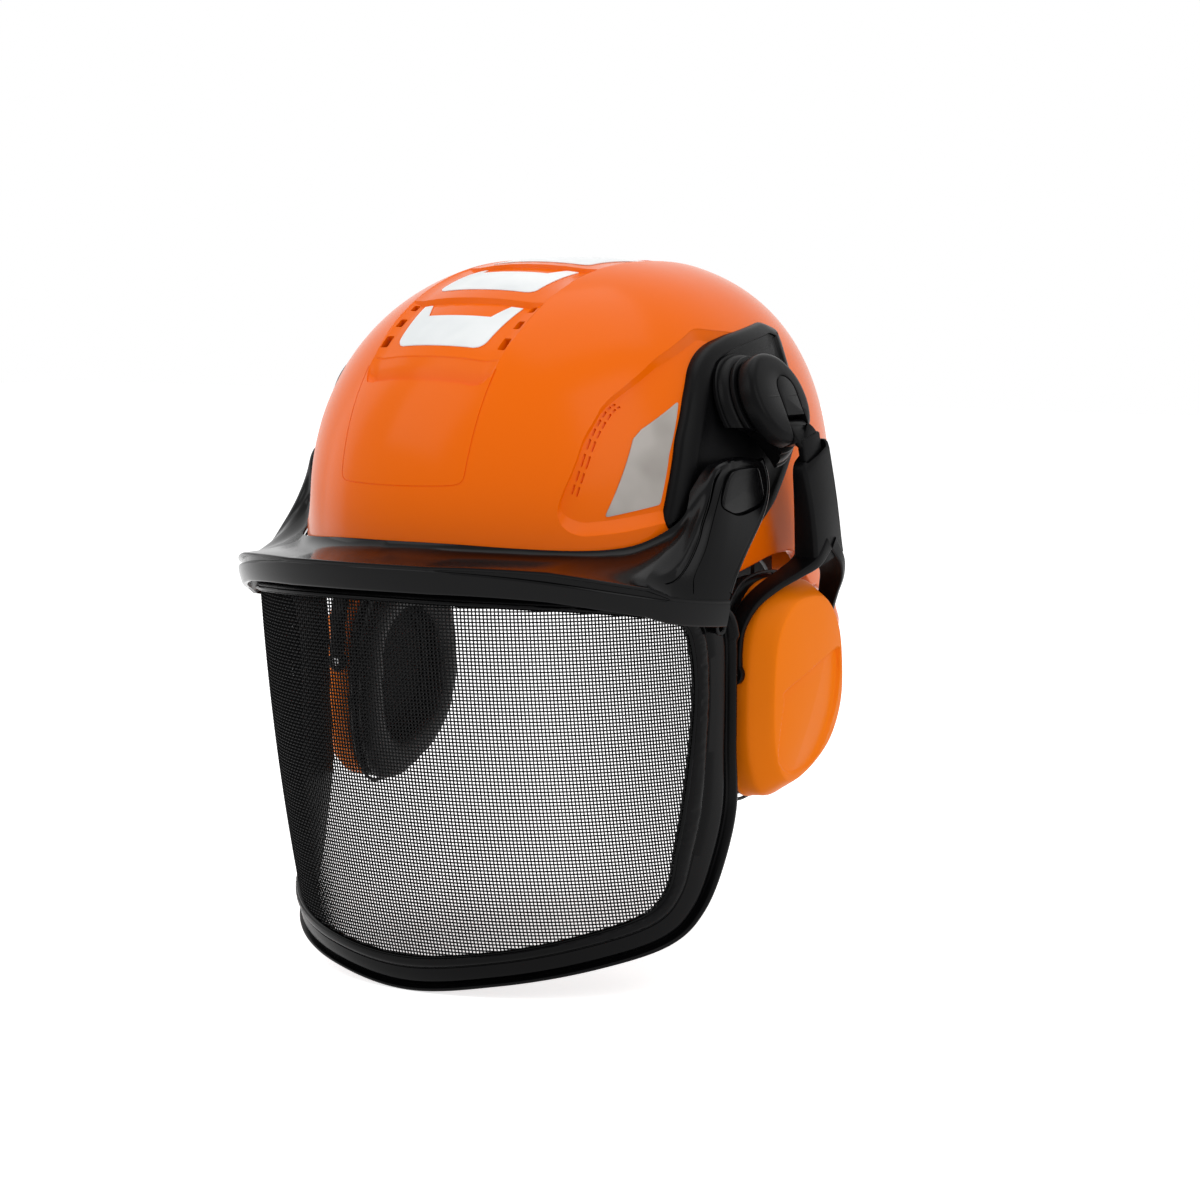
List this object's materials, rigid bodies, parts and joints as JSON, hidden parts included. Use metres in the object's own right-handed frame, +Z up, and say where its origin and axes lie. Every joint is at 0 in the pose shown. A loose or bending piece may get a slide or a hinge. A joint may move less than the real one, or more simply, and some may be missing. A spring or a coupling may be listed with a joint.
{
  "type": "forestry helmet",
  "caption": "Safety helmet with a flip-up mesh visor on a peak, swing-out ear defenders on sliding yokes, and a ratchet headband inside.",
  "frame": {"origin": "centre of the head opening, on the plane where the shell's side walls begin, midway between the ears", "axes": "+Z up to the crown, the wearer looks along -Y, the wearer's left side is +X"},
  "size_m": [0.232, 0.2811, 0.2818],
  "materials": {
    "shell_orange": "glossy",
    "black_satin": "satin",
    "black_gloss": "glossy",
    "black_wire": "satin",
    "reflective": "retroreflective",
    "steel": "brushed",
    "cup_orange": "satin",
    "cradle_black": "matte",
    "webbing": "woven",
    "cushion_skin": "soft",
    "foam": "open foam"
  },
  "bodies": {
    "helmet": {"shell": "shell_orange", "side_adapter_left": "black_satin", "side_adapter_right": "black_satin", "side_decal_left": "reflective", "side_decal_right": "reflective", "crest_decals": "reflective", "hub_base_left": "black_satin", "hub_base_right": "black_satin", "hub_ring_left": "black_satin", "hub_ring_right": "black_satin", "visor_pin_left": "steel", "visor_pin_right": "steel", "headband": "cradle_black", "brow_pad": "foam", "crown_strap_long": "webbing", "crown_strap_cross": "webbing", "crown_pad": "foam", "cradle_clips": "cradle_black", "ratchet_housing": "cradle_black", "ratchet_cover": "cradle_black", "nape_strap": "foam"},
    "visor": {"visor_carrier": "black_gloss", "pivot_cover_left": "black_gloss", "pivot_cover_right": "black_gloss", "mesh_frame": "black_gloss", "visor_mesh": "black_wire", "mesh_pegs": "black_gloss"},
    "knob": {"ratchet_knob": "cradle_black"},
    "rack_l": {"rack_left": "cradle_black"},
    "rack_r": {"rack_right": "cradle_black"},
    "hub_left": {"hub_cap_left": "black_satin", "arm_pin_left": "steel"},
    "arm_left": {"arm_left": "black_satin"},
    "yoke_left": {"yoke_left": "black_satin", "cup_pins_left": "steel"},
    "cup_left": {"cup_shell_left": "cup_orange", "cup_plate_left": "cradle_black", "cup_foam_left": "foam", "cushion_left": "cushion_skin"},
    "hub_right": {"hub_cap_right": "black_satin", "arm_pin_right": "steel"},
    "arm_right": {"arm_right": "black_satin"},
    "yoke_right": {"yoke_right": "black_satin", "cup_pins_right": "steel"},
    "cup_right": {"cup_shell_right": "cup_orange", "cup_plate_right": "cradle_black", "cup_foam_right": "foam", "cushion_right": "cushion_skin"}
  },
  "joints": [
    {"name": "visor_lift", "type": "hinge", "parent": "helmet", "child": "visor", "pos_m": [0, -0.025, 0.021], "axis": [-1, 0, 0], "range_deg": [0, 70]},
    {"name": "hub_swivel_left", "type": "hinge", "parent": "helmet", "child": "hub_left", "pos_m": [0.1044, -0.0036, 0.0565], "axis": [0.9135, 0, 0.4067], "range_deg": [-0.5, 6]},
    {"name": "arm_lift_left", "type": "hinge", "parent": "hub_left", "child": "arm_left", "pos_m": [0.10583, -0.0036, 0.04345], "axis": [0, -1, 0], "range_deg": [0, 35]},
    {"name": "cup_slide_left", "type": "slide", "parent": "arm_left", "child": "yoke_left", "axis": [0, 0.2588, -0.9659], "range_m": [0, 0.012]},
    {"name": "cup_tilt_left", "type": "hinge", "parent": "yoke_left", "child": "cup_left", "pos_m": [0.0985, 0, -0.05], "axis": [0, -1, 0], "range_deg": [-8, 8]},
    {"name": "hub_swivel_right", "type": "hinge", "parent": "helmet", "child": "hub_right", "pos_m": [-0.1044, -0.0036, 0.0565], "axis": [0.9135, 0, -0.4067], "range_deg": [-0.5, 6]},
    {"name": "arm_lift_right", "type": "hinge", "parent": "hub_right", "child": "arm_right", "pos_m": [-0.10583, -0.0036, 0.04345], "axis": [0, 1, 0], "range_deg": [0, 35]},
    {"name": "cup_slide_right", "type": "slide", "parent": "arm_right", "child": "yoke_right", "axis": [0, 0.2588, -0.9659], "range_m": [-0.009, 0.003]},
    {"name": "cup_tilt_right", "type": "hinge", "parent": "yoke_right", "child": "cup_right", "pos_m": [-0.0985, 0.00233, -0.05869], "axis": [0, 1, 0], "range_deg": [-8, 8]},
    {"name": "ratchet_turn", "type": "hinge", "parent": "helmet", "child": "knob", "pos_m": [0, 0.0962, -0.02], "axis": [0, 1, 0], "range_deg": [-100, 100]},
    {"name": "rack_slide_left", "type": "slide", "parent": "helmet", "child": "rack_l", "axis": [1, 0, 0], "range_m": [-0.006, 0.006]},
    {"name": "rack_slide_right", "type": "slide", "parent": "helmet", "child": "rack_r", "axis": [-1, 0, 0], "range_m": [-0.006, 0.006]}
  ],
  "couplings": [
    {"joint": "rack_slide_left", "follows": "ratchet_turn", "m_per_rad": -0.0034},
    {"joint": "rack_slide_right", "follows": "ratchet_turn", "m_per_rad": -0.0034}
  ]
}
